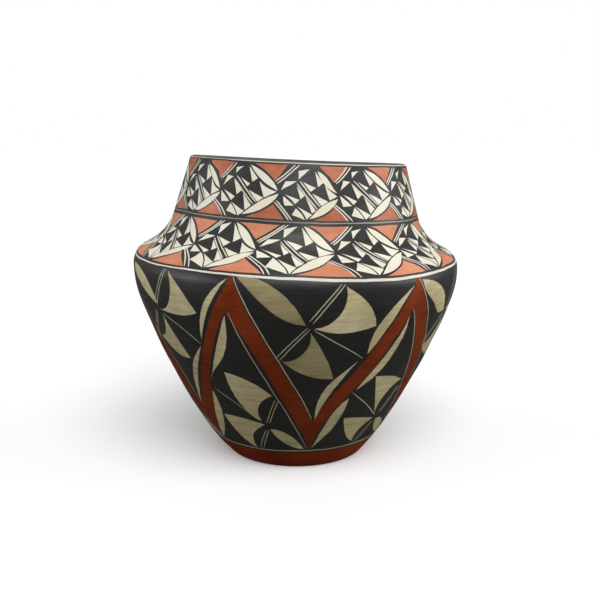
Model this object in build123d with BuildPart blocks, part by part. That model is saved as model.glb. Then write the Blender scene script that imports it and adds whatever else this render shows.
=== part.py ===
from build123d import *
import os

# Pueblo water jar, coiled by hand: a domed base pressed in a shallow bowl, then coil upon coil of clay,
# each lapped a little way down the inside of the one below, scraped thin and burnished.
# The jar stands on the XY plane with its axis on Z. Lengths are in millimetres.

# Outer face, bottom to top: how far each stretch rises, and how wide the jar is where it ends
heel_rise = 19.0
body_rise = 154.0
shoulder_rise = 44.5
neck_rise = 50.5
foot_diameter = 122.0
belly_diameter = 290.0
neck_foot_diameter = 216.5
mouth_diameter = 187.0

# The heel under the painted body, from the foot out to the line where the red slip ends
heel_width = 15.25

# Thickness of the clay
wall = 6.0
floor = 6.5
lap = 3.0

# Round of the shoulder above the belly and of the body just under it
shoulder_radius = 17.0
shoulder_turn = 67.0
under_belly_radius = 84.0
under_belly_turn = 20.0

# Foot ring and the hollow pressed up inside it
foot_ring_width = 13.0
hollow_depth = 8.0
foot_edge_radius = 3.0
floor_valley_radius = 9.0

# Rounded lip
lip_edge_radius = 2.7

# Coils of the body, and the share of the neck that its coil takes before the rim coil
body_coils = 4
neck_coil_share = 0.72

# How far a region that cuts one coil out of the section stands clear of the wall, as a share of it,
# and the steps that its edges take along the wall
clear_share = 0.4
region_steps = 6

foot_radius = foot_diameter / 2
hollow_radius = foot_radius - foot_ring_width
base_line_point = (foot_radius + heel_width, heel_rise)
belly_radius = belly_diameter / 2
belly_height = heel_rise + body_rise
neck_foot_radius = neck_foot_diameter / 2
neck_foot_height = belly_height + shoulder_rise
mouth_radius = mouth_diameter / 2
jar_height = neck_foot_height + neck_rise
clear = wall * clear_share


def upward(stretch, share):
    """Direction of the wall at a share of one stretch of its outline, pointing up."""
    way = stretch % share
    return way if way.Y > 0 else -way


def across(stretch, share, depth_share, slant=0.0):
    """Point across the wall: depth share 0 is the outer face and 1 the inner, sunk by the slant there."""
    up = upward(stretch, share)
    inward = Vector(-up.Y, up.X)
    return stretch @ share + (inward * wall - up * slant) * depth_share


def inner_arc(stretch):
    """Arc of the inner face behind one arc of the outer face."""
    return TangentArc(across(stretch, 0, 1), across(stretch, 1, 1), tangent=stretch % 0)


# Half section of the whole jar
with BuildSketch(Plane.XZ) as section:
    with BuildLine() as outline:
        # Outer face, from the belly down to the foot and from the belly up to the lip
        belly = Vector(belly_radius, belly_height)
        under_belly = JernArc(belly, (0, -1), under_belly_radius, -under_belly_turn)
        body = TangentArc(under_belly @ 1, base_line_point, tangent=under_belly % 1)
        heel = TangentArc(body @ 1, (foot_radius, 0), tangent=body % 1)
        shoulder = JernArc(belly, (0, 1), shoulder_radius, shoulder_turn)
        flare = TangentArc(shoulder @ 1, (neck_foot_radius, neck_foot_height), tangent=shoulder % 1)
        neck = Line(flare @ 1, (mouth_radius, jar_height))

        # Lip, level across the wall before its edges are rounded
        lean = upward(neck, 0)
        lip = Line(neck @ 1, neck @ 1 - Vector(wall / lean.Y, 0))

        # Inner face
        neck_inside = Line(lip @ 1, across(neck, 0, 1))
        TangentArc(across(shoulder, 1, 1), neck_inside @ 1, tangent=shoulder % 1)
        for stretch in (shoulder, under_belly, body, heel):
            inner_arc(stretch)

        # Floor that rises over the hollow, and the foot ring under it
        valley = across(heel, 1, 1)
        floor_top = TangentArc((0, hollow_depth + floor), valley, tangent=(1, 0))
        hollow = TangentArc((0, hollow_depth), (hollow_radius, 0), tangent=(1, 0))
        Line(hollow @ 1, (foot_radius, 0))
        Line(hollow @ 0, floor_top @ 0)
    make_face()
    fillet(section.vertices().sort_by_distance(lip @ 0)[0], lip_edge_radius)
    fillet(section.vertices().sort_by_distance(lip @ 1)[0], lip_edge_radius)
    fillet(section.vertices().sort_by_distance((foot_radius, 0))[0], foot_edge_radius)
    fillet(section.vertices().sort_by_distance(valley)[0], floor_valley_radius)


# The wall from the base line up to the lip, each stretch with the share at its lower and upper end
wall_stretches = ((body, 1, 0), (under_belly, 1, 0), (shoulder, 0, 1), (flare, 0, 1), (neck, 0, 1))


def place(distance):
    """Stretch and share at a distance along the outer face from the base line."""
    for stretch, low, high in wall_stretches[:-1]:
        if distance < stretch.length:
            return stretch, low + (high - low) * distance / stretch.length
        distance -= stretch.length
    return neck, distance / neck.length


def seam(distance):
    """Slanted line where two coils meet, as its outer and inner ends just clear of the wall."""
    spot = place(distance)
    return [across(*spot, -clear_share, lap), across(*spot, 1 + clear_share, lap)]


def coil_region(low, high):
    """Outline of the region round the coil between the seams at two distances along the wall."""
    spots = [place(low + (high - low) * step / region_steps) for step in range(1, region_steps)]
    outside = [across(*spot, -clear_share) for spot in spots]
    inside = [across(*spot, 1 + clear_share) for spot in spots]
    (low_out, low_in), (high_out, high_in) = seam(low), seam(high)
    return [low_out, *outside, high_out, high_in, *inside[::-1], low_in]


# Distances of the seams along the wall, each with the coil that starts there
belly_distance = body.length + under_belly.length
flare_distance = belly_distance + shoulder.length
neck_distance = flare_distance + flare.length
rim_distance = neck_distance + neck.length * neck_coil_share
coil_starts = {f"body_coil_{count + 1}": belly_distance * count / body_coils for count in range(body_coils)}
coil_starts["shoulder_coil_1"] = belly_distance
coil_starts["shoulder_coil_2"] = flare_distance
coil_starts["neck_coil"] = neck_distance
coil_starts["rim_coil"] = rim_distance

# The base cup fills everything under the first seam, and the rim coil everything over the last
foot_out, foot_in = seam(0)
rim_out, rim_in = seam(rim_distance)
reach = max(belly_radius, mouth_radius) + clear
top = jar_height + clear
regions = {"base_cup": [(reach, -clear), foot_out, foot_in, (0, foot_out.Y), (0, -clear)]}
names = list(coil_starts)
for name, above in zip(names, names[1:]):
    regions[name] = coil_region(coil_starts[name], coil_starts[above])
regions["rim_coil"] = [rim_out, (reach, rim_out.Y), (reach, top), (0, top), (0, rim_in.Y), rim_in]

# Each coil is a ring turned from its own part of the section
os.makedirs("parts", exist_ok=True)
for name, region in regions.items():
    with BuildPart() as coil:
        with BuildSketch(Plane.XZ):
            add(section.sketch_local)
            with BuildSketch(Plane.XY, mode=Mode.INTERSECT):
                with BuildLine():
                    Polyline(*region, close=True)
                make_face()
        revolve(axis=Axis.Z)
    coil.part.label = name
    export_step(coil.part, f"parts/{name}.step")
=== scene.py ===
import bpy
import numpy as np
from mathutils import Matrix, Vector
from mathutils.geometry import delaunay_2d_cdt


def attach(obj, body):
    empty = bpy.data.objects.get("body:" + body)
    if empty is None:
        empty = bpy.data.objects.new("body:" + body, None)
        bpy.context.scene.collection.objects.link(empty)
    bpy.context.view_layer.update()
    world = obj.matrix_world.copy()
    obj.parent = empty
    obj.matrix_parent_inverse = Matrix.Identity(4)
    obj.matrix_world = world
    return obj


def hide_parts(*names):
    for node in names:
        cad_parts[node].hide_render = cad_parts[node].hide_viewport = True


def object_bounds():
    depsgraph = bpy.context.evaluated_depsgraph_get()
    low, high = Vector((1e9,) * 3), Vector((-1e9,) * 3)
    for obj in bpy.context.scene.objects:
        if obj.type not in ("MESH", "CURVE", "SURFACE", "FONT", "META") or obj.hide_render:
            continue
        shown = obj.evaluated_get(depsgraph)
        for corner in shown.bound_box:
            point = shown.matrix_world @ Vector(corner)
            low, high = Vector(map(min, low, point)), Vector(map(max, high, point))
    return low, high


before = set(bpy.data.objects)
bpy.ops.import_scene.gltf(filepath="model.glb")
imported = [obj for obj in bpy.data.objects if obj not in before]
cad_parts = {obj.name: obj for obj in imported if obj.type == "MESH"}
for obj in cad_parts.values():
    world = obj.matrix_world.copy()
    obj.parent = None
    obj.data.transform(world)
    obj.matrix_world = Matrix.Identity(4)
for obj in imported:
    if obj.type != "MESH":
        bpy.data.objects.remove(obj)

# Pueblo water jar, painted and burnished by hand. Lengths are in metres. The wall is one surface of two
# numbers: the turn round the jar, 0 at the side that faces the camera and growing to the right up to 1,
# and the run along the half section, 0 at the outer lip corner, growing down the outside to the middle of
# the underside and falling below 0 over the lip and down the inside to the middle of the floor. A place
# on the section is one complex number, radius + height * 1j, and a place in a painted unit is one of
# shares, across + up * 1j.

CAD_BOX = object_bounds()
OVERALL = CAD_BOX[1] - CAD_BOX[0]
TURN = 2 * np.pi


# Section of the jar

JAR_HEIGHT = OVERALL.z
BELLY = OVERALL.x / 2 + 0.173j
MOUTH = 0.0935 + JAR_HEIGHT * 1j
NECK_FOOT = 0.10825 + 0.2175j
BASE_LINE = 0.07625 + 0.019j
FOOT = 0.061 + 0j
WALL, FLOOR, LAP = 0.006, 0.0065, 0.003
SHOULDER_RADIUS, SHOULDER_TURN = 0.017, np.radians(67)
UNDER_BELLY_RADIUS, UNDER_BELLY_TURN = 0.084, np.radians(-20)
HOLLOW_RADIUS, HOLLOW_DEPTH, FOOT_RING_WIDTH = 0.048, 0.008, 0.013
# How far a corner of the section is rounded off on each side of it
NECK_REACH, LIP_REACH, INNER_LIP_REACH = 0.006, 0.0026, 0.0036
FOOT_REACH, HOLLOW_REACH, VALLEY_REACH = 0.0022, 0.002, 0.006
SECTION_STEP = 0.00005


def arc(start, centre, turn):
    """Places on an arc: the start, turned about the centre by a share of the turn."""
    count = int(abs(start - centre) * abs(turn) / SECTION_STEP) + 2
    return centre + (start - centre) * np.exp(1j * turn * np.linspace(0, 1, count))


def arc_to(start, way, end):
    """Arc that leaves the start along the way and reaches the end, so it turns by twice the angle between
    the way and the chord. Gives its places and the way it ends along."""
    turn = 2 * np.angle((end - start) / way)
    centre = (end - start * np.exp(1j * turn)) / (1 - np.exp(1j * turn))
    return arc(start, centre, turn), way * np.exp(1j * turn)


def line(start, end):
    """Places on a straight line at even shares from the start to the end."""
    return start + (end - start) * np.linspace(0, 1, int(abs(end - start) / SECTION_STEP) + 2)


def lengths(places):
    """Distance along a run of places to each of them."""
    return np.concatenate([[0], np.cumsum(abs(np.diff(places)))])


def rounded(runs, places, corner, reach):
    """Corner of the section rounded off: between one reach before it and one after, the places move along
    the quadratic curve that has the corner as its middle control place."""
    low, high = corner - reach, corner + reach
    share = np.clip((runs - low) / (high - low), 0, 1)
    first, middle, last = (np.interp(run, runs, places) for run in (low, corner, high))
    bend = (1 - share) ** 2 * first + 2 * share * (1 - share) * middle + share ** 2 * last
    return np.where((runs > low) & (runs < high), bend, places)


shoulder_arc = arc(BELLY, BELLY - SHOULDER_RADIUS, SHOULDER_TURN)
under_arc = arc(BELLY, BELLY - UNDER_BELLY_RADIUS, UNDER_BELLY_TURN)
flare_arc, _ = arc_to(shoulder_arc[-1], 1j * np.exp(1j * SHOULDER_TURN), NECK_FOOT)
body_arc, body_end = arc_to(under_arc[-1], -1j * np.exp(1j * UNDER_BELLY_TURN), BASE_LINE)
heel_arc, _ = arc_to(BASE_LINE, body_end, FOOT)
outer = np.concatenate([line(MOUTH, NECK_FOOT)[:-1], flare_arc[:0:-1], shoulder_arc[:0:-1],
                        under_arc[:-1], body_arc[:-1], heel_arc])
outer_runs = lengths(outer)
NECK_RUN = abs(MOUTH - NECK_FOOT)
FOOT_RUN = outer_runs[-1]
neck_way = (NECK_FOOT - MOUTH) / NECK_RUN
outer = rounded(outer_runs, outer, NECK_RUN, NECK_REACH)
outer_ways = np.gradient(outer, outer_runs)
outer_ways /= abs(outer_ways)
behind = outer - 1j * outer_ways * WALL
inner_lip = MOUTH - WALL / -neck_way.imag
floor_arc, _ = arc_to((HOLLOW_DEPTH + FLOOR) * 1j, 1 + 0j, behind[-1])
hollow_arc, _ = arc_to(HOLLOW_DEPTH * 1j, 1 + 0j, HOLLOW_RADIUS + 0j)
section = np.concatenate([floor_arc[:-1], behind[::-1], line(inner_lip, MOUTH)[:-1], outer[:-1],
                          line(FOOT, HOLLOW_RADIUS + 0j)[:-1], hollow_arc[::-1]])
section_runs = lengths(section)
section_runs -= section_runs[len(floor_arc) - 1 + len(behind) + len(line(inner_lip, MOUTH)) - 1]
LIP_RUN = abs(inner_lip - MOUTH)
VALLEY_RUN = section_runs[len(floor_arc) - 1]
for corner, reach in ((0, LIP_REACH), (-LIP_RUN, INNER_LIP_REACH), (FOOT_RUN, FOOT_REACH),
                      (FOOT_RUN + FOOT_RING_WIDTH, HOLLOW_REACH), (VALLEY_RUN, VALLEY_REACH)):
    section = rounded(section_runs, section, corner, reach)
RUN_START, RUN_END = section_runs[0], section_runs[-1]

# The hand-built jar leans and sits off its axis a little: by height, how far a ring tips sideways and
# forwards, and how far its middle is moved, as the painted lines of the photograph show
LEAN_HEIGHTS = (0.0, 0.0204, 0.1, 0.1817, 0.2171, 0.2642, 0.29)
LEAN_SIDE = (0.0, 0.0023, -0.008, -0.0203, -0.0303, -0.0430, -0.046)
LEAN_FRONT = (0.0, 0.006, 0.008, 0.010, 0.004, 0.010, 0.010)
SHIFT_SIDE = (0.0, -0.0006, -0.0008, -0.0007, 0.0006, 0.0015, 0.0015)
# Heights 2 mm apart, and how many of them on each side a smoothed value is averaged over
LEAN_TABLE = np.linspace(0, LEAN_HEIGHTS[-1], 146)
LEAN_EASE = 4


def eased(values):
    """Values at the lean heights, read over the even ones with their kinks smoothed by a running mean."""
    raw = np.interp(LEAN_TABLE, LEAN_HEIGHTS, values)
    padded = np.concatenate([raw[:LEAN_EASE], raw, raw[-LEAN_EASE:]])
    window = 2 * LEAN_EASE + 1
    return np.convolve(padded, np.ones(window) / window, "valid")


LEAN_CURVES = [eased(values) for values in (LEAN_SIDE, LEAN_FRONT, SHIFT_SIDE)]
# The lip is a little lower than the even section has it, and the rim sinks towards the back
LIP_SUNK, BACK_SUNK = 0.0027, 0.0046
LIP_SUNK_OVER, BACK_SUNK_FROM = 0.005, 0.200
# The lean comes in over the lowest part, so that the foot stands flat; the dents stay off the foot and
# the middle of the floor
LEAN_OVER, DENTS_ABOVE, DENTS_BEYOND = 0.012, 0.01, 0.03
# Steps to both sides over which the slopes of the wall are taken, and how far these stay off its ends
RUN_NUDGE, TURN_NUDGE, END_MARGIN = 0.0002, 0.0004, 0.0005

rng = np.random.default_rng(57)


def phased(*table):
    """Waves, each its count round the jar, its length along the run and its size, and a phase drawn."""
    return [(*wave, rng.uniform(0, TURN)) for wave in table]


# Shallow dents and swells left by scraping and burnishing
DENTS = phased((2, 0.40, 0.00050), (3, 0.23, 0.00035), (5, 0.12, 0.00020), (7, -0.10, 0.00014),
               (9, 0.055, 0.00010), (13, -0.042, 0.00008), (19, 0.035, 0.00005), (26, -0.028, 0.00004))
# Waver of the painting hand, once for the shift round the jar and once along the run; the slow part grows
# from nothing at the front to its full size at the back
SLOW_WAVERS = [phased((1, 0.30, 0.0006), (3, -0.17, 0.0005), (5, 0.11, 0.0004)) for _ in range(2)]
QUICK_WAVERS = [phased((8, -0.09, 0.00013), (17, 0.05, 0.0001), (29, -0.03, 0.00007),
                       (47, 0.019, 0.00005), (71, -0.012, 0.00004)) for _ in range(2)]


def waves(turn, run, table):
    """Sum of the plane waves of a table over turn and run."""
    return sum(size * np.cos(TURN * (count * turn + run / length) + phase)
               for count, length, size, phase in table)


def eased_share(value, low, high):
    """Share from 0 at low to 1 at high, level at both ends."""
    share = np.clip((value - low) / (high - low), 0, 1)
    return share * share * (3 - 2 * share)


def place(turn, run):
    """Place in space of the wall: the section's radius and height there, the radius swelled by the dents,
    turned round the axis, moved sideways, tipped and sunk by what its height and side ask."""
    spot = np.interp(run, section_runs, section)
    height = spot.imag
    calm = np.clip(height / DENTS_ABOVE, 0, 1) * np.clip(spot.real / DENTS_BEYOND, 0, 1)
    radius = spot.real + waves(turn, run, DENTS) * calm
    side, front, shift = (np.interp(height, LEAN_TABLE, curve) for curve in LEAN_CURVES)
    x, y = radius * np.sin(TURN * turn), -radius * np.cos(TURN * turn)
    to_back = np.sin(np.pi * turn) ** 4
    sunk = LIP_SUNK * eased_share(height, JAR_HEIGHT - LIP_SUNK_OVER, JAR_HEIGHT)
    sunk = sunk + BACK_SUNK * to_back * eased_share(height, BACK_SUNK_FROM, JAR_HEIGHT)
    tip = (x * side + y * front) * eased_share(height, 0, LEAN_OVER)
    return np.stack([x + shift, y, height + tip - sunk], -1)


def facing(turn, run):
    """Outward direction of the wall: the slope along the run crossed with the slope round the jar."""
    run = np.clip(run, RUN_START + END_MARGIN, RUN_END - END_MARGIN)
    down = place(turn, run + RUN_NUDGE) - place(turn, run - RUN_NUDGE)
    across = place(turn + TURN_NUDGE, run) - place(turn - TURN_NUDGE, run)
    out = np.cross(down, across)
    return out / np.linalg.norm(out, axis=-1, keepdims=True)


# Painted units

# Places along one painted edge, and the width of a painted line's ends as a share of its own
EDGE_STEPS, STROKE_END = 8, 0.55
# Painted lines round the jar, as the runs between which they lie
RIM_LINE = (0.0025, 0.0045)
NECK_LINE = (0.0511, 0.0521)
SHOULDER_LINE = (0.1027, 0.1050)
BASE_LINE_RUNS = (0.2795, 0.2808)
# Where a line round the jar wanders at the front: its run, how far along the wall that carries, and by the
# angle in degrees how far down it goes
DRIFTS = (
    (0.1038, 0.022, (-75, -45, -30, -12, 5, 20, 32, 45, 60, 90),
     (0.0, -0.0004, -0.0010, -0.0007, 0.0005, 0.0018, 0.0024, 0.0024, 0.0014, 0.0)),
    (0.0516, 0.010, (-90, -60, -30, 0, 20, 40, 90),
     (0.0, -0.0010, -0.0008, -0.0003, 0.0001, -0.0002, 0.0)),
)
# Width of a line round the jar by the angle, and how far beyond the line its swelling carries, as a share
# of half the line
LINE_SWELLS = (
    (RIM_LINE, (-180, -70, -45, -20, 0, 60, 180), (0.0016, 0.0012, 0.0012, 0.0017, 0.0020, 0.0020, 0.0016)),
    (NECK_LINE, (-180, -70, -10, 10, 60, 180), (0.0008, 0.0007, 0.0007, 0.0010, 0.0010, 0.0008)),
    (SHOULDER_LINE, (-180, -70, -40, -20, 5, 45, 90, 180),
     (0.0018, 0.0012, 0.0012, 0.0016, 0.0023, 0.0022, 0.0015, 0.0018)),
)
SWELL_REACH = 1.6
# The thin lines inside a band, and the mean radius of the wall there
LINE_WIDTHS = {"neck": 0.0010, "shoulder": 0.0010, "body": 0.00085}
MEAN_RADII = {"neck": 0.1005, "shoulder": 0.122, "body": 0.128}


def side(points):
    """One painted edge, its last end left out: the polynomial of the distance along the chords that
    passes through all its points."""
    points = np.array(points)
    at = lengths(points) / lengths(points)[-1]
    share = np.linspace(0, 1, EDGE_STEPS, endpoint=False)[:, None, None]
    with np.errstate(divide="ignore", invalid="ignore"):
        ratio = (share - at) / (at[:, None] - at)
    ratio[:, np.arange(len(at)), np.arange(len(at))] = 1
    return ratio.prod(-1) @ points


def outline(parts):
    """Outline of a painted shape: its corners, and between two of them a tuple of the points that the
    curved edge passes through."""
    corners = [index for index, part in enumerate(parts) if not isinstance(part, tuple)]
    edges = []
    for here, after in zip(corners, corners[1:] + [len(parts)]):
        through = [point for part in parts[here + 1:after] for point in part]
        edges.append(side([parts[here], *through, (parts + parts[:1])[after]]))
    return np.concatenate(edges)


def stroke(points, width, scale):
    """Outline of a painted line of even width through the points; the scale gives the real length of one
    share across and one share up."""
    points = np.array(points)
    path = np.append(side(points), points[-1])
    real = path.real * scale[0] + 1j * path.imag * scale[1]
    way = np.gradient(real)
    off = 1j * way / abs(way) * width / 2
    off[[0, -1]] *= STROKE_END
    real = np.concatenate([real + off, (real - off)[::-1]])
    return real.real / scale[0] + 1j * real.imag / scale[1]


def ring_of_nodes(seen, units):
    """Turns of the nodes between the units of a band, for counts from one round before to one after: the
    ones seen in the photograph, in degrees, and the rest evenly between the last of these and the first."""
    rest = np.linspace(seen[-1], seen[0] + 360, units - len(seen) + 2)[1:-1]
    once = np.concatenate([seen, rest]) / 360
    return np.arange(-units, 2 * units), np.concatenate([once - 1, once, once + 1])


def laid(shape, unit, nodes, span):
    """Shape of one unit on the wall, as turn + run * 1j: shares across run from node to node, and shares up
    from the low run of the span to the high one."""
    counts, node_turns = nodes
    low, high = span
    return np.interp(unit + shape.real, counts, node_turns) + 1j * (low + (high - low) * shape.imag)


def blend(manners, shares, shake):
    """Weighted mean of the three manners of one shape, with every place shaken a little. A manner that is
    left out or empty is as the first."""
    def meet(spots):
        jolt = rng.normal(0, 1, 2) * shake
        return sum(spot * share for spot, share in zip(spots, shares)) + jolt[0] + 1j * jolt[1]

    three = [manner or manners[0] for manner in (*manners, (), ())[:3]]
    return [tuple(meet(inner) for inner in zip(*spots)) if isinstance(spots[0], tuple) else meet(spots)
            for spots in zip(*three)]


# Shapes of one unit of the two upper bands, from its left node at 0 to its right node at 1, in the three
# manners that the photograph shows: the unit left of the middle of the neck, the one right of it, and
# the middle one of the shoulder. The manners of a shape have equal counts of places
BAND_SHAPES = (
    # Red triangle over the right node and the one under it
    ("orange", [.575 + .985j, (.75 + .880j, .86 + .785j), .93 + .705j, 1.14 + .985j],
               [.70 + .985j, (.80 + .87j, .87 + .795j), .925 + .705j, 1.215 + .985j],
               [.645 + .99j, (.785 + .925j, .885 + .82j), .955 + .74j, 1.265 + .99j]),
    ("orange", [.92 + .285j, 1.11 + .02j, .52 + .02j, (.68 + .10j, .82 + .19j)],
               [.915 + .255j, 1.12 + .02j, .57 + .02j, (.73 + .095j, .855 + .18j)],
               [.885 + .355j, 1.145 + .02j, .52 + .02j, (.68 + .115j, .795 + .22j)]),
    # Leaf that falls to the right node, and the leaf that rises to it
    ("cream", [.50 + .955j, (.70 + .865j, .85 + .745j), .985 + .525j, (.80 + .640j, .66 + .755j)],
              [.66 + .895j, (.795 + .805j, .905 + .63j), .985 + .505j, (.86 + .575j, .755 + .69j)],
              [.605 + .985j, (.76 + .90j, .90 + .735j), .99 + .56j, (.85 + .635j, .72 + .775j)]),
    ("cream", [1.0 + .475j, (.92 + .335j, .80 + .215j, .65 + .120j), .465 + .06j,
               (.60 + .215j, .78 + .365j)],
              [.999 + .410j, (.923 + .295j, .80 + .175j, .66 + .095j), .505 + .045j,
               (.655 + .215j, .82 + .338j)],
              [.985 + .495j, (.88 + .365j, .75 + .205j, .60 + .095j), .465 + .04j,
               (.56 + .205j, .75 + .415j)]),
    # Upper right pair
    ("cream", [.475 + .93j, .645 + .725j, .56 + .655j],
              [.615 + .889j, .755 + .69j, .665 + .61j],
              [.575 + .97j, .73 + .735j, .625 + .66j]),
    ("cream", [.68 + .68j, (.80 + .580j,), .965 + .508j, .775 + .39j],
              [.777 + .653j, (.87 + .545j,), .983 + .453j, .845 + .38j],
              [.765 + .67j, (.86 + .590j,), .985 + .533j, .79 + .455j]),
    # Upper left pair
    ("cream", [.25 + .90j, .385 + .925j, (.30 + .855j,), .25 + .79j],
              [.329 + .883j, .52 + .924j, (.42 + .825j,), .329 + .736j],
              [.33 + .925j, .515 + .98j, (.415 + .87j,), .335 + .78j]),
    ("cream", [.10 + .745j, .215 + .725j, (.13 + .65j,), .045 + .56j],
              [.105 + .695j, .297 + .706j, (.165 + .62j,), .032 + .541j],
              [.125 + .75j, .295 + .75j, (.16 + .67j,), .03 + .605j]),
    # Pairs on both sides of the white lines
    ("cream", [.35 + .725j, .53 + .62j, .485 + .575j],
              [.405 + .694j, .626 + .594j, .534 + .524j],
              [.37 + .74j, .59 + .65j, .51 + .57j]),
    ("cream", [.52 + .515j, .77 + .385j, .68 + .31j],
              [.561 + .494j, .82 + .353j, .707 + .276j],
              [.535 + .545j, .77 + .44j, .66 + .37j]),
    ("cream", [.24 + .67j, .395 + .495j, .32 + .41j],
              [.302 + .618j, .437 + .459j, .362 + .394j],
              [.30 + .67j, .42 + .52j, .355 + .46j]),
    ("cream", [.43 + .445j, .59 + .24j, .50 + .14j],
              [.453 + .441j, .615 + .194j, .545 + .147j],
              [.45 + .48j, .60 + .285j, .515 + .20j]),
    # Four at the lower left, along a curved black line
    ("cream", [.075 + .49j, .295 + .375j, .235 + .30j, (.165 + .395j,)],
              [.10 + .468j, .345 + .382j, .275 + .305j, (.20 + .39j,)],
              [.06 + .56j, .33 + .45j, .27 + .395j, (.18 + .48j,)]),
    ("cream", [.025 + .47j, (.045 + .37j,), .065 + .27j, .205 + .285j, (.125 + .375j,)],
              [.075 + .435j, (.085 + .355j,), .108 + .274j, .250 + .279j, (.165 + .365j,)],
              [.005 + .535j, (.02 + .455j,), .035 + .375j, .205 + .405j, (.115 + .475j,)]),
    ("cream", [.25 + .275j, .495 + .12j, .40 + .035j, (.34 + .155j,)],
              [.308 + .264j, .545 + .123j, .459 + .035j, (.40 + .155j,)],
              [.285 + .375j, .52 + .18j, .445 + .035j, (.385 + .205j,)]),
    ("cream", [.24 + .255j, .185 + .105j, .375 + .045j, (.325 + .145j,)],
              [.290 + .232j, .232 + .111j, .432 + .030j, (.375 + .135j,)],
              [.23 + .395j, .165 + .17j, .425 + .035j, (.355 + .225j,)]),
)
BAND_LINES = (
    ([.235 + .69j, .62 + .265j], [.302 + .665j, .642 + .217j], [.30 + .71j, .605 + .305j]),
    ([.28 + .745j, .66 + .305j], [.356 + .706j, .686 + .259j], [.34 + .745j, .65 + .345j]),
    ([-.05 + .70j, .06 + .82j, .175 + .985j],
     [-.065 + .688j, .105 + .832j, .275 + .985j],
     [-.025 + .70j, .14 + .835j, .33 + .995j]),
    ([-.02 + .675j, .11 + .81j, .24 + .985j],
     [-.035 + .650j, .155 + .812j, .345 + .985j],
     [.005 + .68j, .18 + .83j, .385 + .995j]),
    ([-.105 + .285j, .02 + .16j, .12 + .015j],
     [-.065 + .323j, .06 + .182j, .178 + .015j],
     [-.12 + .415j, .05 + .235j, .175 + .015j]),
    ([-.075 + .31j, .07 + .175j, .185 + .015j],
     [-.033 + .353j, .105 + .19j, .232 + .015j],
     [-.10 + .44j, .10 + .25j, .235 + .015j]),
)

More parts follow.
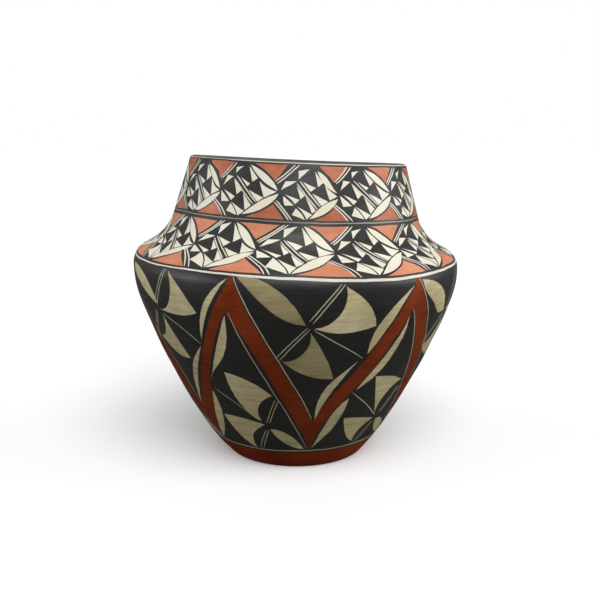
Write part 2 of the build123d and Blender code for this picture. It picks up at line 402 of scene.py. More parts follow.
# Shapes of one period of the body, from a peak of the zigzag at 0 to the next at 1, in the three manners
# that the photograph shows: the middle period, the one on its left and the one on its right
BODY_SHAPES = (
    # Falling and rising leg of the red zigzag
    ("brick", [.012 + 1.0j, (.103 + .822j, .206 + .628j, .320 + .440j), .462 + .222j, .472 + .010j,
               (.317 + .235j, .200 + .440j, .104 + .626j), -.034 + .846j, -.010 + 1.0j],
              [.012 + 1.0j, (.160 + .765j, .285 + .580j, .375 + .445j), .440 + .235j, .460 + .020j,
               (.305 + .235j, .205 + .470j, .100 + .700j), -.010 + .846j, -.010 + 1.0j],
              [.012 + 1.0j, (.128 + .815j, .235 + .640j, .340 + .450j), .462 + .222j, .472 + .010j,
               (.302 + .240j, .205 + .465j, .098 + .690j), -.010 + .846j, -.010 + 1.0j]),
    ("brick", [1.012 + 1.0j, .992 + .845j, (.925 + .690j, .776 + .469j, .593 + .257j), .472 + .010j,
               .462 + .222j, (.600 + .410j, .768 + .618j, .905 + .846j)],
              [1.012 + 1.0j, .966 + .845j, (.863 + .694j, .757 + .513j, .642 + .306j), .460 + .020j,
               .440 + .235j, (.621 + .430j, .764 + .648j, .910 + .872j)]),
    # Lenses along the rising leg: two on its upper side, two on its lower side
    ("tan", [.980 + .972j, (.883 + .902j, .830 + .849j, .785 + .787j), .753 + .626j,
             (.832 + .739j, .898 + .860j)],
            [.986 + .992j, (.905 + .940j, .835 + .865j, .792 + .787j), .764 + .685j,
             (.803 + .753j, .886 + .878j)]),
    ("tan", [.703 + .593j, (.605 + .517j, .545 + .462j, .494 + .380j), .474 + .236j,
             (.560 + .392j, .655 + .532j)],
            [.745 + .645j, (.656 + .576j, .568 + .480j, .505 + .372j), .451 + .259j,
             (.558 + .393j, .660 + .531j)]),
    ("tan", [.980 + .813j, (.989 + .730j, .965 + .620j, .894 + .514j), .747 + .410j,
             (.832 + .523j, .942 + .681j)],
            [.966 + .831j, (.959 + .755j, .937 + .673j, .861 + .571j), .722 + .433j,
             (.817 + .576j, .902 + .722j)]),
    ("tan", [.711 + .360j, (.707 + .290j, .663 + .182j, .560 + .076j), .490 + .020j,
             (.545 + .138j, .657 + .320j)],
            [.694 + .379j, (.704 + .303j, .650 + .172j, .555 + .080j), .420 + .010j,
             (.510 + .111j, .611 + .248j)]),
    # Figure over the valley: leaf and two wings round one middle
    ("tan", [.035 + .999j, (.169 + .993j, .269 + .940j), .381 + .799j,
             (.272 + .826j, .169 + .892j, .101 + .952j)],
            [.097 + .980j, (.200 + .978j, .331 + .946j), .445 + .822j,
             (.315 + .867j, .240 + .897j, .167 + .924j)],
            [.042 + .990j, (.150 + .972j, .289 + .894j), .367 + .785j,
             (.179 + .851j, .130 + .888j, .084 + .924j)]),
    ("tan", [.579 + .983j, (.664 + .928j, .727 + .863j), .764 + .779j, (.676 + .760j, .567 + .754j),
             .422 + .783j, (.517 + .816j, .570 + .882j)],
            [.580 + .991j, (.655 + .942j, .725 + .882j), .779 + .819j, (.705 + .801j, .580 + .793j),
             .454 + .800j, (.565 + .848j, .599 + .918j)]),
    ("tan", [.405 + .762j, (.472 + .668j,), .564 + .495j, (.431 + .510j,), .254 + .601j,
             (.360 + .637j, .402 + .698j)],
            [.460 + .772j, (.517 + .669j,), .602 + .555j, (.438 + .566j,), .309 + .639j,
             (.419 + .680j, .451 + .729j)],
            [.410 + .752j, (.480 + .668j,), .560 + .500j, (.420 + .515j,), .252 + .598j,
             (.350 + .640j, .402 + .698j)]),
    # The same figure turned over, under the peak
    ("tan", [.112 + .160j, (.239 + .140j, .325 + .090j), .415 + .012j, (.315 + .024j, .185 + .085j)]),
    ("tan", [-.304 + .225j, (-.103 + .220j,), .077 + .189j, (-.035 + .134j, -.088 + .075j),
             -.079 + .005j, (-.242 + .099j,)],
            (),
            [-.276 + .224j, (-.133 + .208j,), .054 + .178j, (-.020 + .135j, -.062 + .098j),
             -.071 + .024j, (-.211 + .114j,)]),
    ("tan", [-.130 + .514j, (.042 + .472j,), .171 + .394j, (.089 + .349j, .050 + .293j), .059 + .216j,
             (-.076 + .313j,)],
            (),
            [-.127 + .480j, (.000 + .463j,), .182 + .408j, (.060 + .344j, .030 + .269j), .048 + .209j,
             (-.059 + .349j,)]),
)
BODY_LINES = (
    ([.018 + .998j, .115 + .822j, .218 + .628j, .332 + .438j, .450 + .243j],
     [.018 + .998j, .172 + .765j, .297 + .580j, .387 + .445j, .450 + .243j],
     [.018 + .998j, .140 + .815j, .247 + .640j, .352 + .450j, .450 + .243j]),
    ([-.014 + .841j, .074 + .626j, .170 + .440j, .291 + .233j, .446 + .010j],
     [-.002 + .841j, .088 + .700j, .193 + .470j, .293 + .235j, .446 + .010j],
     [-.002 + .841j, .086 + .690j, .193 + .465j, .290 + .240j, .446 + .010j]),
    ([.396 + .818j, .474 + .905j, .553 + .992j],
     [.413 + .822j, .489 + .928j, .542 + .995j],
     [.408 + .800j, .446 + .893j, .478 + .990j]),
    ([.414 + .808j, .493 + .900j, .572 + .992j],
     [.435 + .817j, .508 + .925j, .560 + .995j],
     [.432 + .792j, .474 + .889j, .508 + .990j]),
    ([.390 + .788j, .226 + .625j],),
    ([.402 + .780j, .240 + .608j],),
    ([.423 + .773j, .576 + .689j, .728 + .606j], [.473 + .780j, .625 + .724j, .748 + .658j]),
    ([.098 + .205j, .189 + .369j],),
    ([.121 + .203j, .210 + .363j],),
    ([.074 + .150j, -.045 + .003j],),
    ([.098 + .150j, -.005 + .004j],),
    ([-.277 + .400j, -.156 + .339j, .052 + .208j], (), [-.273 + .394j, -.110 + .297j, .060 + .196j]),
)

NECK_SPAN, SHOULDER_SPAN, BODY_SPAN = (0.0506, 0.0054), (0.1019, 0.0537), (0.2795, 0.1056)
NECK_NODES = ring_of_nodes((-37.5, -8.3, 18.1, 47.5), 13)
SHOULDER_NODES = ring_of_nodes((-42.5, -14.6, 14.2, 42.9), 13)
BODY_NODES = ring_of_nodes((-77.0, -20.0, 41.0), 6)
# How far each unit of a band follows each manner, from the first one seen: the three seen ones follow
# what they show and the others lie between them
SEEN_UNITS = 3
neck_shares = [(1, 0, 0), (0, 1, 0), (0.9, 0.1, 0)] + [(a, 1 - a, 0) for a in rng.uniform(0, 0.8, 10)]
shoulder_shares = [(0, 0, 1), (0, 0, 1), (0.5, 0, 0.5)] + [(0, a, 1 - a) for a in rng.uniform(0, 0.3, 10)]
body_shares = [(0, 1, 0), (1, 0, 0), (0, 0, 1)] + [(a, 0, 1 - a) for a in rng.uniform(0.3, 1, 3)]
# How much the places of an unseen unit are shaken, as a share of the unit, and what of that its lines take
SHAKES = {"neck": 0.006, "shoulder": 0.006, "body": 0.003}
LINE_SHAKE = 0.6
# Least and greatest width of a painted line, as shares of its usual one
WIDTH_SPREAD = (0.9, 1.1)
# Body shapes whose thin slip lets the dark ground through, as period and shape, and the share of such
# shapes among the unseen ones
THIN_SLIP = ((1, 6), (1, 8))
THIN_SHARE = 0.35

laid_shapes = {}
for band, nodes, span, all_shares, figure, strokes, line_paint in (
        ("neck", NECK_NODES, NECK_SPAN, neck_shares, BAND_SHAPES, BAND_LINES, "white"),
        ("shoulder", SHOULDER_NODES, SHOULDER_SPAN, shoulder_shares, BAND_SHAPES, BAND_LINES, "white"),
        ("body", BODY_NODES, BODY_SPAN, body_shares, BODY_SHAPES, BODY_LINES, "body_line")):
    unit_size = (TURN * MEAN_RADII[band] / len(all_shares), span[0] - span[1])
    drawn = laid_shapes[band] = []
    for unit, shares in enumerate(all_shares):
        unseen = unit >= SEEN_UNITS
        shake = SHAKES[band] if unseen else 0.0
        for index, (paint, *manners) in enumerate(figure):
            if paint == "tan" and ((unit, index) in THIN_SLIP or unseen and rng.uniform() < THIN_SHARE):
                paint = "thin_tan"
            # On the shoulder the orange-red takes a lighter copy, partly its own tone and partly painted
            # light
            if paint == "orange" and band == "shoulder":
                paint = "salmon"
            shape = outline(blend(manners, shares, 0 if paint == "brick" else shake))
            drawn.append((paint, laid(shape, unit, nodes, span)))
        for manners in strokes:
            width = LINE_WIDTHS[band] * rng.uniform(*WIDTH_SPREAD)
            shape = stroke(blend(manners, shares, shake * LINE_SHAKE), width, unit_size)
            drawn.append((line_paint, laid(shape, unit, nodes, span)))

# Columns of the grid round the jar, the breadth of the flat mesh that stands for one round, and how near
# two of its places are one
COLUMNS, FLAT_WIDTH, FLAT_NEAR = 156, TURN * 0.12, 1e-9


def covers(shape, spots):
    """Which spots lie inside a closed outline: those with an odd count of its edges to their right."""
    start, end = shape[None, :], np.roll(shape, -1)[None, :]
    spot = spots[:, None]
    crosses = (start.imag > spot.imag) != (end.imag > spot.imag)
    climb = np.where(crosses, end.imag - start.imag, 1)
    meets = start.real + (end.real - start.real) * (spot.imag - start.imag) / climb
    return (crosses & (spot.real < meets)).sum(1) % 2 == 1


def sheet(rows, bands, shapes=(), ground="black"):
    """One painted belt of the wall as triangles. A grid of columns and rows and the outlines of all shapes
    are joined into one flat mesh, each triangle takes the paint of the last shape that covers it, and
    outside them the bands of runs give the paint, over the ground. Gives the turns and runs of the places,
    the triangles and their paints."""
    rows = np.array(rows)
    columns = np.arange(COLUMNS + 1) / COLUMNS
    grid = (columns[None, :] + 1j * rows[:, None]).ravel()
    index = np.arange(len(grid)).reshape(len(rows), len(columns))
    edges = np.concatenate([np.stack([index[:, :-1].ravel(), index[:, 1:].ravel()], 1),
                            np.stack([index[:-1].ravel(), index[1:].ravel()], 1)])
    drawn = [(name, shape + copy) for name, shape in shapes for copy in (-1, 0, 1, 2)
             if (shape.real + copy).max() > 0 and (shape.real + copy).min() < 1]
    sizes = np.cumsum([len(grid)] + [len(shape) for _, shape in drawn])
    faces = [list(range(first, last)) for first, last in zip(sizes, sizes[1:])]
    points = np.concatenate([grid] + [shape for _, shape in drawn])
    verts, _, tris, _, _, _ = delaunay_2d_cdt(
        np.stack([points.real * FLAT_WIDTH, -points.imag], 1).tolist(), edges.tolist(), faces, 0, FLAT_NEAR)
    verts, tris = np.array(verts), np.array(tris)
    flat = verts[:, 0] / FLAT_WIDTH - 1j * verts[:, 1]
    middle = flat[tris].mean(1)
    paint = np.full(len(tris), ground, dtype=object)
    for first, last, name in bands:
        paint[(middle.imag > first) & (middle.imag < last)] = name
    for name, shape in drawn:
        near = np.flatnonzero((middle.real > shape.real.min()) & (middle.real < shape.real.max()))
        paint[near[covers(shape, middle[near])]] = name
    keep = (middle.real > 0) & (middle.real < 1) & (middle.imag > rows[0]) & (middle.imag < rows[-1])
    return flat.real, flat.imag, tris[keep], paint[keep]


def rows_between(first, last, step, *fixed):
    """Runs from the first to the last about one step apart, with all the fixed ones among them."""
    marks = sorted({first, last, *(run for run in fixed if first < run < last)})
    return np.concatenate([np.linspace(a, b, max(int(round((b - a) / step)), 1), endpoint=False)
                           for a, b in zip(marks, marks[1:])] + [[last]])


# Seams between the coils, as runs on the outside from the top down; the inner end of each is the nearest
# place of the inner face to where a slanted line across the wall comes out
SEAMS = (0.01473, 0.05261, 0.09293, 0.11281, 0.15535, 0.19790, 0.24045, 0.28300)
NECK_SEAM, BASE_SEAM = SEAMS[1], SEAMS[7]
COILS = ("rim_coil", "neck_coil", "shoulder_coil_2", "shoulder_coil_1",
         "body_coil_4", "body_coil_3", "body_coil_2", "body_coil_1", "base_cup")
# Run under which a place is on the inner face, and the step over which the way of the wall is taken
INSIDE_UNDER, WAY_STEP = -0.01, 0.0001
inside = section_runs < INSIDE_UNDER
inner_seams = []
for run in SEAMS:
    spot, near = np.interp([run, run + WAY_STEP], section_runs, section)
    way = (near - spot) / abs(near - spot)
    target = spot - 1j * way * WALL + way * LAP
    nearest = np.argmin(abs(section[inside] - target))
    inner_seams.append(round(float(section_runs[inside][nearest]), 6))
RUN_START, RUN_END = round(float(RUN_START), 6), round(float(RUN_END), 6)

# Where the paint changes: the black of the lip ends inside, the red of the base starts and ends
LIP_PAINT_END, BASE_PAINT, UNDER_PAINT = -0.0165, 0.2823, FOOT_RUN + 0.004
# Where the inner sheet meets the neck's, where the two skins of the rim coil part, the middle of the
# shoulder line, where the shoulder's sheet meets the body's, and the span that is finely divided round it
INNER_JOINT, RIM_PART, SHOULDER_JOINT, FINE_SPAN = -0.009, -0.0031, 0.1038, (0.090, 0.118)
INNER_STEP, ROW_STEP, FINE_STEP = 0.006, 0.004, 0.0013
LIP_ROWS = (-0.0062, -0.0045, -0.003, -0.0015, -0.0007, 0.0, 0.0008, 0.0016)
FOOT_ROWS = [FOOT_RUN + step for step in
             (-0.0022, -0.0015, -0.0007, 0, 0.0007, 0.0015, 0.0022, 0.011, 0.012, 0.013, 0.014, 0.015)]
fine_rows = [rows_between(*ends, FINE_STEP, *SHOULDER_LINE, *SEAMS)
             for ends in ((FINE_SPAN[0], SHOULDER_JOINT), (SHOULDER_JOINT, FINE_SPAN[1]))]
belts = [
    sheet(rows_between(RUN_START, INNER_JOINT, INNER_STEP, LIP_PAINT_END, *inner_seams),
          [(RUN_START, LIP_PAINT_END, "clay"), (LIP_PAINT_END, INNER_JOINT, "lip")]),
    sheet(rows_between(INNER_JOINT, NECK_SEAM, ROW_STEP, *LIP_ROWS, *RIM_LINE, *NECK_LINE, *SEAMS),
          [(INNER_JOINT, RIM_LINE[0], "lip"), (*RIM_LINE, "white"), (*NECK_LINE, "fine_line")],
          laid_shapes["neck"], "band_black"),
    sheet(np.concatenate([rows_between(NECK_SEAM, FINE_SPAN[0], ROW_STEP, *SEAMS)[:-1], fine_rows[0]]),
          [(*SHOULDER_LINE, "white")], laid_shapes["shoulder"], "band_black"),
    sheet(np.concatenate([fine_rows[1][:-1],
                          rows_between(FINE_SPAN[1], BASE_SEAM, ROW_STEP, *BASE_LINE_RUNS, *SEAMS)]),
          [(*SHOULDER_LINE, "white"), (*BASE_LINE_RUNS, "body_line"), (BASE_PAINT, BASE_SEAM, "base_red")],
          laid_shapes["body"]),
    sheet(rows_between(BASE_SEAM, RUN_END, ROW_STEP, *FOOT_ROWS),
          [(BASE_SEAM, UNDER_PAINT, "base_red"), (UNDER_PAINT, RUN_END, "bare")]),
]

# All belts as one surface: places that agree to a millionth of a turn and of a metre are one, and so are
# all places at the middle of the floor and of the underside. ON_RUN and AT_POLE say how near to a run and
# to those middles a place counts as on them
ON_RUN, AT_POLE, MERGE_SHARE = 2e-7, 1e-5, 10 ** 6
turns, runs, paints = (np.concatenate([belt[part] for belt in belts]) for part in (0, 1, 3))
starts = np.cumsum([0] + [len(belt[0]) for belt in belts])
tris = np.concatenate([belt[2] + start for belt, start in zip(belts, starts)])
near_pole = (runs < RUN_START + AT_POLE) | (runs > RUN_END - AT_POLE)
keys = (np.rint(turns * MERGE_SHARE).astype(np.int64) % MERGE_SHARE) * (1 - near_pole) * 10 * MERGE_SHARE
keys += np.rint((runs + 1) * MERGE_SHARE).astype(np.int64)
_, first, merged = np.unique(keys, return_index=True, return_inverse=True)
turns, runs = turns[first] % 1.0, runs[first]
tris = merged.ravel()[tris]
sound = (tris[:, 0] != tris[:, 1]) & (tris[:, 1] != tris[:, 2]) & (tris[:, 2] != tris[:, 0])
tris, paints = tris[sound], paints[sound]


def near_turn(turn, other):
    """Turn counted on or back by a whole one to lie within half a turn of the other."""
    return other + (turn - other + 0.5) % 1.0 - 0.5


corner_turns = near_turn(turns[tris], turns[tris[:, :1]])
corner_runs = runs[tris]
turned = ((corner_turns[:, 1] - corner_turns[:, 0]) * (corner_runs[:, 2] - corner_runs[:, 0])
          - (corner_turns[:, 2] - corner_turns[:, 0]) * (corner_runs[:, 1] - corner_runs[:, 0])) > 0
tris[turned] = tris[turned][:, ::-1]
middle_runs = corner_runs.mean(1)

# The waver of the hand moves every painted edge a little. It comes in between the first two runs, fades
# out between the last two, and turns by less than its share where the radius is under the least one
WAVER_SPAN, LEAST_RADIUS = (0.001, 0.005, 0.280, 0.300), 0.03
calm = np.interp(runs, WAVER_SPAN, (0, 1, 1, 0))
angles = near_turn(turns, 0.0) * 360
to_back = np.sin(np.pi * turns) ** 2
shift_round, shift_down = (
    (waves(turns, runs, slow) * to_back + waves(turns, runs, quick)) * calm
    for slow, quick in zip(SLOW_WAVERS, QUICK_WAVERS))
radius_there = np.maximum(np.interp(runs, section_runs, section).real, LEAST_RADIUS)
drawn_turns = turns + shift_round / (TURN * radius_there)
drawn_runs = runs + shift_down
for centre, reach, knots, shifts in DRIFTS:
    drawn_runs += np.interp(angles, knots, shifts) * np.exp(-((runs - centre) / reach) ** 2)
for (first, last), knots, widths in LINE_SWELLS:
    centre, half = (first + last) / 2, (last - first) / 2
    away = runs - centre
    swell = np.interp(angles, knots, widths) / (last - first) - 1
    drawn_runs += away * swell * np.exp(-(np.maximum(abs(away) - half, 0) / (half * SWELL_REACH)) ** 2)
spots = place(drawn_turns, drawn_runs)
outward = facing(drawn_turns, drawn_runs)


# Paints

# How far the roughness strays, how strong and deep the bumps are, and how strong the brush marks are next
# to the streaks
ROUGHNESS_SPREAD, BUMP_STRENGTH, BUMP_DEPTH, BRUSH_SHARE = 0.06, 0.12, 0.0004, 0.6


def hexes(text):
    """Linear colour of a six-digit sRGB one."""
    parts = np.array([int(text[at:at + 2], 16) / 255 for at in (0, 2, 4)])
    return tuple(np.where(parts <= 0.04045, parts / 12.92, ((parts + 0.055) / 1.055) ** 2.4)) + (1.0,)


def add(tree, kind, links=None, **settings):
    """New node with its settings, its inputs linked or set."""
    node = tree.nodes.new(kind)
    for key, value in settings.items():
        setattr(node, key, value)
    for key, value in (links or {}).items():
        if isinstance(value, bpy.types.NodeSocket):
            tree.links.new(value, node.inputs[key])
        else:
            node.inputs[key].default_value = value
    return node


def empty_tree(owner):
    """Node tree of a material or a world, emptied."""
    owner.use_nodes = True
    owner.node_tree.nodes.clear()
    return owner.node_tree


def mix_colour(tree, share, first, second):
    """Colour between the first and the second."""
    node = add(tree, "ShaderNodeMix", {0: share, 6: first, 7: second}, data_type="RGBA")
    return node.outputs[2]


def level(tree, value, low, high, new_low=0.0, new_high=1.0):
    """Value brought from one range to another, and kept inside it."""
    node = add(tree, "ShaderNodeMapRange", {0: value, 1: low, 2: high, 3: new_low, 4: new_high})
    return node.outputs[0]


def clay_marks():
    """Shared marks of the worked surface: soft mottling, burnishing streaks round the wall, brush streaks
    in the slip, dark specks, small pits, and how far down the body it is for painted shade towards the
    foot, all by the place on the object."""
    tree = bpy.data.node_groups.new("clay marks", "ShaderNodeTree")
    for name in ("Mottle", "Streak", "Brush", "Speck", "Pit", "Low shade"):
        tree.interface.new_socket(name=name, in_out="OUTPUT", socket_type="NodeSocketFloat")
    place_of = add(tree, "ShaderNodeTexCoord").outputs["Object"]

    def noise(scale, detail, stretch=(1, 1, 1), turned=(0, 0, 0)):
        mapped = add(tree, "ShaderNodeMapping", {"Vector": place_of, "Scale": stretch, "Rotation": turned})
        made = add(tree, "ShaderNodeTexNoise", {"Vector": mapped.outputs[0], "Scale": scale,
                                               "Detail": detail, "Roughness": 0.55})
        return made.outputs["Fac"]

    height = add(tree, "ShaderNodeSeparateXYZ", {0: place_of}).outputs[2]
    out = add(tree, "NodeGroupOutput")
    for name, value, low, high in (
            ("Mottle", noise(24, 3), 0.3, 0.7),
            ("Streak", noise(38, 4, (1, 1, 9), (0.08, -0.05, 0)), 0.3, 0.7),
            ("Brush", noise(90, 3, (1, 1, 6), (0.35, 0.3, 0.2)), 0.32, 0.68),
            ("Speck", noise(620, 1), 0.68, 0.78),
            ("Pit", noise(330, 1, (1, 1, 1.4)), 0.70, 0.80),
            # Share of painted shade: none 14 cm up the body, full 2 cm over the floor
            ("Low shade", height, 0.14, 0.02)):
        tree.links.new(level(tree, value, low, high), out.inputs[name])
    return tree


MARKS = clay_marks()


def paint_material(name, plain, deep, pale, speck, rough, streaks, specks, sheen=0.5, low=0.0):
    """Matte paint: mottled between its plain and deep colours, streaked with the pale one, brushed with the
    deep one, specked and pitted, and deeper by the low share towards the foot, which is painted shade of
    the lower body. The sheen is its specular level."""
    material = bpy.data.materials.new(name)
    tree = empty_tree(material)
    marks = add(tree, "ShaderNodeGroup", node_tree=MARKS).outputs
    mottled = mix_colour(tree, marks["Mottle"], hexes(deep), hexes(plain))
    # Painted shade: the colour deepens towards the foot by the low share
    base = mix_colour(tree, level(tree, marks["Low shade"], 0, 1, 0, low), mottled, hexes(deep))
    streaked = mix_colour(tree, level(tree, marks["Streak"], 0, 1, 0, streaks), base, hexes(pale))
    brush = level(tree, marks["Brush"], 0.5, 1, 0, streaks * BRUSH_SHARE)
    brushed = mix_colour(tree, brush, streaked, hexes(deep))
    specked = mix_colour(tree, level(tree, marks["Speck"], 0, 1, 0, specks), brushed, hexes(speck))
    height = add(tree, "ShaderNodeMath", {0: marks["Streak"], 1: marks["Pit"]}, operation="SUBTRACT")
    bump = add(tree, "ShaderNodeBump", {"Height": height.outputs[0], "Strength": BUMP_STRENGTH,
                                        "Distance": BUMP_DEPTH})
    roughness = level(tree, marks["Streak"], 0, 1, rough + ROUGHNESS_SPREAD, rough - ROUGHNESS_SPREAD)
    shader = add(tree, "ShaderNodeBsdfPrincipled", {"Base Color": specked, "Roughness": roughness,
                                                    "Normal": bump.outputs[0], "Specular IOR Level": sheen})
    add(tree, "ShaderNodeOutputMaterial", {"Surface": shader.outputs[0]})
    return material


# Each paint: name, plain, deep, pale and speck colours, roughness, shares of streaks and specks, and where
# they aren't as usual the sheen and how much deeper it is low down, which is painted shade
PAINTS = {key: paint_material(*values) for key, values in {
    "black": ("black mineral paint",
        "201f1d", "141312", "383a3e", "4a3a2c", 0.42, 0.30, 0.20),
    # Black of the bands: lighter grey than the body's black, partly its own tone and partly painted sheen
    # of the light on the up-facing bands
    "band_black": ("black paint of the bands",
        "2d2e2d", "1e1f1f", "474a48", "6b5f4e", 0.42, 0.40, 0.30, 0.37),
    "cream": ("cream slip of the bands",
        "f6f2e2", "e8dfc3", "fbf9f2", "8a7350", 0.50, 0.40, 0.30),
    # Body cream: darker and yellower than the bands' cream, partly its own tone and partly painted shade of
    # the body that faces away from the light
    "tan": ("cream slip of the body",
        "e2d6aa", "a29564", "ece2c0", "7d6945", 0.55, 0.50, 0.40, 0.3, 0.8),
    "thin_tan": ("thin cream slip of the body",
        "a3976f", "7b7146", "bfb289", "5f5233", 0.55, 0.50, 0.50, 0.3),
    "orange": ("orange-red slip of the neck",
        "d98663", "a04a20", "e2a183", "6b2c17", 0.50, 0.20, 0.40, 0.3),
    # Shoulder orange-red: lighter than the neck's, partly its own tone and partly painted light on the
    # shoulder that faces up
    "salmon": ("orange-red slip of the shoulder",
        "e99a75", "c6764d", "f2b69b", "8a4a30", 0.50, 0.25, 0.40, 0.3),
    # Body red: far darker than the neck's orange-red, partly its own colour and partly painted shade, and
    # deeper still towards the foot by painted shade
    "brick": ("brick-red slip of the body",
        "8d3c1b", "652308", "a44f2b", "3f1408", 0.55, 0.25, 0.25, 0.1, 0.8),
    "white": ("white painted line",
        "f0ece0", "d8d0bb", "faf8f0", "7d6f58", 0.60, 0.40, 0.40),
    # Lip: the black is grey as painted sheen of the light along the rim; its pale streaks and specks are
    # wear
    "lip": ("worn black paint of the lip",
        "53524d", "33322f", "8f8a76", "b09a6c", 0.42, 0.70, 0.70),
    "fine_line": ("thin grey line",
        "a5a299", "77746c", "c6c2b6", "5c5142", 0.55, 0.50, 0.40),
    "body_line": ("thin line on the body",
        "c6bea3", "a19878", "d6cfb7", "5c5142", 0.55, 0.50, 0.40, 0.3),
    "base_red": ("red slip of the base",
        "8a3411", "6c2206", "9c4520", "3a1206", 0.52, 0.30, 0.30, 0.1),
    "clay": ("bare clay inside",
        "8f8574", "786d5c", "a39a88", "5a4f40", 0.80, 0.50, 0.50, 0.3),
    "bare": ("bare clay underneath",
        "a08467", "86694c", "b39a7d", "5a4530", 0.80, 0.50, 0.50, 0.3),
}.items()}


# Pieces

# Flat map of one coil, in strips stacked bottom up: for the outer skin, the inner skin, the upper and the
# lower seam strip, into how many strips they go, how tall one is and where the first starts
STRIP_COUNTS, STRIP_HEIGHTS, STRIP_STARTS = (4, 2, 1, 1), (1.0, 0.5, 0.12, 0.12), (0.0, 4.0, 5.0, 5.12)
MAP_HEIGHT = 5.24
# Margins of a strip: at its ends in turns, above and below it as a share of the map
MAP_PAD, MAP_GAP = 0.009, 0.004
# Least length of a flat triangle's direction, so that nothing is divided by 0
LEAST_LENGTH = 1e-20


def placed(name, data):
    """New object in the scene that shows the data."""
    made = bpy.data.objects.new(name, data)
    bpy.context.scene.collection.objects.link(made)
    return made


def zipped(upper, lower, upward):
    """Triangles of the seam strip between two rings of any counts, both in the order of their turns: each
    edge of one ring is joined to the last place of the other before it."""
    upper_turns, lower_turns = turns[upper], turns[lower]
    other = np.searchsorted(lower_turns, np.append(upper_turns[1:], 1 + upper_turns[0]), "left") - 1
    first = np.stack([upper, np.roll(upper, -1), lower[other % len(lower)]], 1)
    round_again = np.append(upper_turns, 1 + upper_turns[0])
    other = np.searchsorted(round_again, np.append(lower_turns[1:], 1 + lower_turns[0]), "right") - 1
    second = np.stack([np.roll(lower, -1), lower, upper[other % len(upper)]], 1)
    strip = np.concatenate([first, second])
    return strip if upward else strip[:, ::-1]


def ring(run):
    """Places of the surface at one run, in the order of their turns."""
    found = np.flatnonzero(abs(runs - run) < ON_RUN)
    return found[np.argsort(turns[found])]


def texture_map(faces, top, low, inner_top, inner_low):
    """Places of the corners on the flat map of one coil. Across a strip goes the turn, less the turn where
    the strip starts; up it goes the share of the run from its upper end to its lower one, or for a seam
    strip from the outer face to the inner. A corner at a pole takes the mean turn of the others."""
    at, run = turns[faces], runs[faces]
    pole = (run < RUN_START + AT_POLE) | (run > RUN_END - AT_POLE)
    first = np.take_along_axis(at, pole.argmin(1)[:, None], 1)
    at = near_turn(at, first)
    middle = (at * ~pole).sum(1, keepdims=True) / (~pole).sum(1, keepdims=True)
    at = np.where(pole, middle, at)
    at -= np.floor(middle)
    middle = middle - np.floor(middle)
    outer_corner = run > (top + inner_top) / 2
    on_top = (abs(run - top) < ON_RUN).any(1)
    kind = np.select([outer_corner.all(1), (~outer_corner).all(1), on_top], [0, 1, 2], 3)
    counts, heights, starts = (np.array(values)[kind][:, None]
                               for values in (STRIP_COUNTS, STRIP_HEIGHTS, STRIP_STARTS))
    strip = np.floor(middle * counts)
    gap = MAP_GAP * MAP_HEIGHT
    ends = np.array([[top, low], [inner_top, inner_low], [top, inner_top], [low, inner_low]])[kind]
    share = (run - ends[:, :1]) / (ends[:, 1:] - ends[:, :1])
    across = (at - strip / counts + MAP_PAD) / (1 / counts + 2 * MAP_PAD)
    up = starts + strip * heights + heights * share * (1 - 2 * gap / heights) + gap
    return np.stack([across, up / MAP_HEIGHT], -1)


def piece(name, top, low, inner_top, inner_low):
    """One coil: its outer skin between two runs, its inner skin, and the strips that close it."""
    outer_skin = (middle_runs > top) & (middle_runs < low)
    skin = outer_skin | ((middle_runs < inner_top) & (middle_runs > inner_low))
    strips = []
    if top > inner_top:
        strips.append(zipped(ring(top), ring(inner_top), True))
    if low < RUN_END:
        strips.append(zipped(ring(low), ring(inner_low), False))
    faces = np.concatenate([tris[skin], *strips])
    own_paints = np.concatenate([paints[skin]] + [["clay"] * len(strip) for strip in strips]).astype(str)
    used, compact = np.unique(faces, return_inverse=True)
    mesh = bpy.data.meshes.new(name)
    mesh.from_pydata(spots[used].tolist(), [], compact.reshape(-1, 3).tolist())

    # The skins take the wall's own directions, the strips those of their flat triangles
    corners = outward[faces]
    start, one, two = np.swapaxes(spots[faces[skin.sum():]], 0, 1)
    flat = np.cross(one - start, two - start)
    flat /= np.maximum(np.linalg.norm(flat, axis=1, keepdims=True), LEAST_LENGTH)
    corners[skin.sum():] = flat[:, None, :]

    palette, slots = np.unique(own_paints, return_inverse=True)
    for paint in palette:
        mesh.materials.append(PAINTS[paint])
    mesh.polygons.foreach_set("material_index", slots.ravel().astype(np.int32))
    mesh.polygons.foreach_set("use_smooth", np.ones(len(faces), dtype=bool))
    flat_map = mesh.uv_layers.new(name="OFBake")
    flat_map.data.foreach_set("uv", texture_map(faces, top, low, inner_top, inner_low).ravel())
    mesh.update()
    mesh.normals_split_custom_set(corners.reshape(-1, 3).tolist())
    made = placed(name, mesh)
    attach(made, "root")
    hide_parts(name)


outer_marks, inner_marks = (RIM_PART, *SEAMS, RUN_END), (RIM_PART, *inner_seams, RUN_START)
for name, *marks in zip(COILS, outer_marks, outer_marks[1:], inner_marks, inner_marks[1:]):
    piece(name, *marks)


# Floor, light and camera

CAMERA_PLACE = (0.0, -0.7435, 0.2796)
CAMERA_PITCH = np.radians(90 - 10.87)
CAMERA_LENS, SENSOR_WIDTH = 49.6, 36
CAMERA_SHIFT = 0.0063
CLIP_START, CLIP_END = 0.05, 30
# What the floor throws back up, as dark as the cloth of the photograph; how much it glows for the camera
# to be as white as the room behind it; and how far it reaches
FLOOR_BOUNCE, FLOOR_GLOW, FLOOR_REACH = "6c6b66", 0.16, 40
ROOM_LIGHT = 0.30
WHITE = (1, 1, 1, 1)

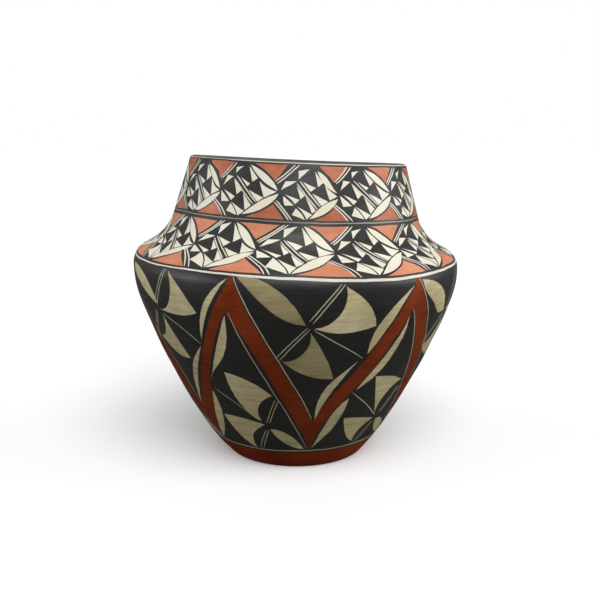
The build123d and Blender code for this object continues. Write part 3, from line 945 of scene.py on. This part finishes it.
floor_material = bpy.data.materials.new("pale floor")
floor_tree = empty_tree(floor_material)
floor_seen = add(floor_tree, "ShaderNodeLightPath").outputs["Is Camera Ray"]
floor_colour = mix_colour(floor_tree, floor_seen, hexes(FLOOR_BOUNCE), hexes("ffffff"))
floor_glow = level(floor_tree, floor_seen, 0, 1, 0, FLOOR_GLOW)
floor_shader = add(floor_tree, "ShaderNodeBsdfPrincipled", {
    "Base Color": floor_colour, "Roughness": 1.0, "Specular IOR Level": 0.0,
    "Emission Color": WHITE, "Emission Strength": floor_glow})
add(floor_tree, "ShaderNodeOutputMaterial", {"Surface": floor_shader.outputs[0]})
floor_mesh = bpy.data.meshes.new("floor")
floor_corners = [(x * FLOOR_REACH, y * FLOOR_REACH, 0) for x, y in ((-1, -1), (1, -1), (1, 1), (-1, 1))]
floor_mesh.from_pydata(floor_corners, [], [(0, 1, 2, 3)])
floor_mesh.materials.append(floor_material)
placed("floor", floor_mesh)


def sun(name, direction, spread, power):
    """Soft sun that shines along a direction, its disc as wide as the spread."""
    lamp = bpy.data.lights.new(name, "SUN")
    lamp.angle, lamp.energy = np.radians(spread), power
    made = placed(name, lamp)
    made.rotation_euler = Vector(direction).to_track_quat("-Z", "Y").to_euler()


sun("key", (-0.20, 0.80, -1.0), 50, 2.0)
sun("left", (0.97, 0.16, -0.08), 40, 1.1)
sun("right", (-0.97, 0.08, -0.08), 40, 1.7)

world = bpy.data.worlds.new("pale room")
bpy.context.scene.world = world
world_tree = empty_tree(world)
seen = add(world_tree, "ShaderNodeLightPath").outputs["Is Camera Ray"]
room = add(world_tree, "ShaderNodeBackground", {"Color": WHITE, "Strength": ROOM_LIGHT})
white = add(world_tree, "ShaderNodeBackground", {"Color": WHITE, "Strength": 1.0})
both = add(world_tree, "ShaderNodeMixShader", {0: seen, 1: room.outputs[0], 2: white.outputs[0]})
add(world_tree, "ShaderNodeOutputWorld", {"Surface": both.outputs[0]})

optics = bpy.data.cameras.new("camera")
optics.lens, optics.sensor_width, optics.shift_x = CAMERA_LENS, SENSOR_WIDTH, CAMERA_SHIFT
optics.clip_start, optics.clip_end = CLIP_START, CLIP_END
camera = placed("camera", optics)
camera.location = CAMERA_PLACE
camera.rotation_euler = (CAMERA_PITCH, 0, 0)
bpy.context.scene.camera = camera
bpy.context.scene.view_settings.view_transform = "Standard"
